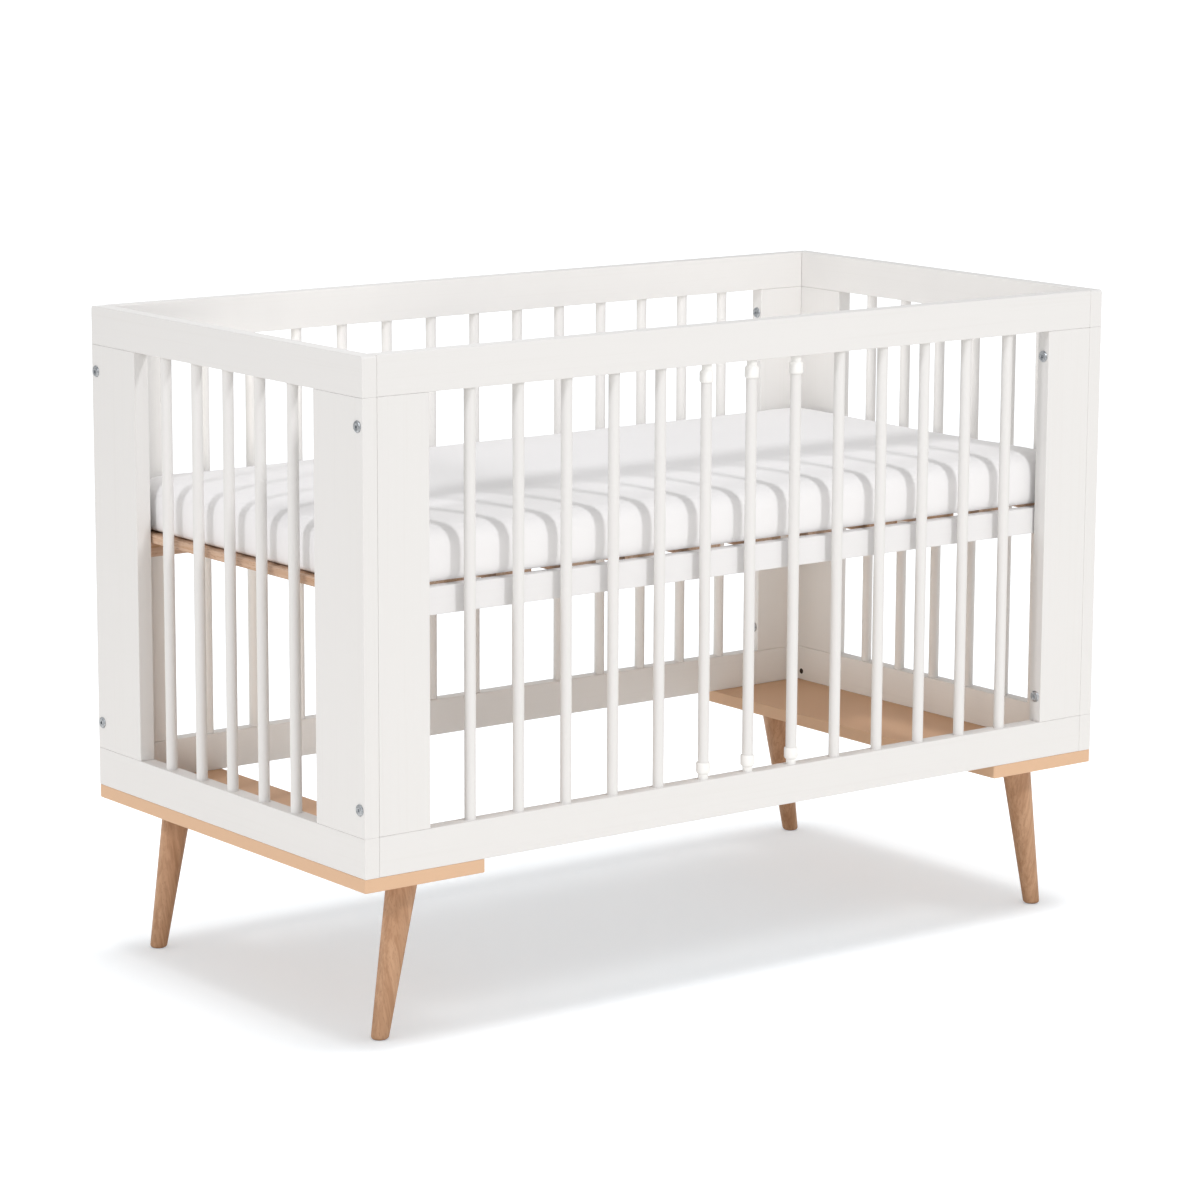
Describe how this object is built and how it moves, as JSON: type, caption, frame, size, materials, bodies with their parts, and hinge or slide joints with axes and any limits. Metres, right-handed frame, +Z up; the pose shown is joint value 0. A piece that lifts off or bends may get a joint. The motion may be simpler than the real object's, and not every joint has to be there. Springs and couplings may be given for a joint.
{
  "type": "baby crib",
  "caption": "Slatted baby crib in white lacquered wood on beech boards with splayed turned legs, with a lift-out slatted base, a mattress and sprung removable front rungs.",
  "frame": {"origin": "centre of the crib's footprint, on the floor", "axes": "+X along the length, towards the right-hand end seen from the front; +Y from the front side with the removable rungs to the rear; +Z up"},
  "size_m": [1.2542, 0.65, 0.8891],
  "materials": {
    "white_lacquer": "satin white lacquer",
    "beech_board": "satin clear lacquer on beech",
    "beech_leg": "satin clear lacquer on turned beech",
    "beech_slats": "plain sanded beech",
    "zinc_bolt": "bright zinc plate",
    "zinc_nut": "bright zinc plate",
    "zinc_pin": "bright zinc plate",
    "spring_steel": "oiled spring wire",
    "white_plastic": "moulded white plastic",
    "mattress_cover": "soft white woven cover"
  },
  "bodies": {
    "frame": {"leg_board_left": "beech_board", "leg_front_left": "beech_leg", "leg_rear_left": "beech_leg", "leg_board_right": "beech_board", "leg_front_right": "beech_leg", "leg_rear_right": "beech_leg", "end_top_rail_left": "white_lacquer", "end_bottom_rail_with_bars_left": "white_lacquer", "end_stile_front_left": "white_lacquer", "end_stile_rear_left": "white_lacquer", "end_top_rail_right": "white_lacquer", "end_bottom_rail_with_bars_right": "white_lacquer", "end_stile_front_right": "white_lacquer", "end_stile_rear_right": "white_lacquer", "side_top_rail_front": "white_lacquer", "side_bottom_rail_with_bars_front": "white_lacquer", "side_stile_front_left": "white_lacquer", "side_stile_front_right": "white_lacquer", "side_top_rail_rear": "white_lacquer", "side_bottom_rail_with_bars_rear": "white_lacquer", "side_stile_rear_left": "white_lacquer", "side_stile_rear_right": "white_lacquer", "connector_bolt_front_left_upper": "zinc_bolt", "sleeve_nut_front_left_upper": "zinc_nut", "connector_bolt_front_left_lower": "zinc_bolt", "sleeve_nut_front_left_lower": "zinc_nut", "connector_bolt_rear_left_upper": "zinc_bolt", "sleeve_nut_rear_left_upper": "zinc_nut", "connector_bolt_rear_left_lower": "zinc_bolt", "sleeve_nut_rear_left_lower": "zinc_nut", "connector_bolt_front_right_upper": "zinc_bolt", "sleeve_nut_front_right_upper": "zinc_nut", "connector_bolt_front_right_lower": "zinc_bolt", "sleeve_nut_front_right_lower": "zinc_nut", "connector_bolt_rear_right_upper": "zinc_bolt", "sleeve_nut_rear_right_upper": "zinc_nut", "connector_bolt_rear_right_lower": "zinc_bolt", "sleeve_nut_rear_right_lower": "zinc_nut", "rung_spring_left": "spring_steel", "rung_spring_middle": "spring_steel", "rung_spring_right": "spring_steel", "support_pin_front_left": "zinc_pin", "support_pin_rear_left": "zinc_pin", "support_pin_front_right": "zinc_pin", "support_pin_rear_right": "zinc_pin"},
    "base": {"base_rail_front": "white_lacquer", "base_rail_rear": "white_lacquer", "slat_grid": "beech_slats"},
    "mattress": {"mattress": "mattress_cover"},
    "rung_left": {"rung_bar_left": "white_lacquer", "rung_cap_lower_left": "white_plastic", "rung_cap_upper_left": "white_plastic"},
    "rung_middle": {"rung_bar_middle": "white_lacquer", "rung_cap_lower_middle": "white_plastic", "rung_cap_upper_middle": "white_plastic"},
    "rung_right": {"rung_bar_right": "white_lacquer", "rung_cap_lower_right": "white_plastic", "rung_cap_upper_right": "white_plastic"}
  },
  "joints": [
    {"name": "base_lift", "type": "slide", "parent": "frame", "child": "base", "axis": [0, 0, 1], "range_m": [0, 0.345]},
    {"name": "mattress_lift", "type": "slide", "parent": "base", "child": "mattress", "axis": [0, 0, 1], "range_m": [0, 0.305]},
    {"name": "rung_left_lift", "type": "slide", "parent": "frame", "child": "rung_left", "axis": [0, 0, 1], "range_m": [0, 0.0058], "stiffness_N_per_m": 800, "springref_m": -0.006, "deforming": ["rung_spring_left"]},
    {"name": "rung_middle_lift", "type": "slide", "parent": "frame", "child": "rung_middle", "axis": [0, 0, 1], "range_m": [0, 0.0058], "stiffness_N_per_m": 800, "springref_m": -0.006, "deforming": ["rung_spring_middle"]},
    {"name": "rung_right_lift", "type": "slide", "parent": "frame", "child": "rung_right", "axis": [0, 0, 1], "range_m": [0, 0.0058], "stiffness_N_per_m": 800, "springref_m": -0.006, "deforming": ["rung_spring_right"]}
  ]
}
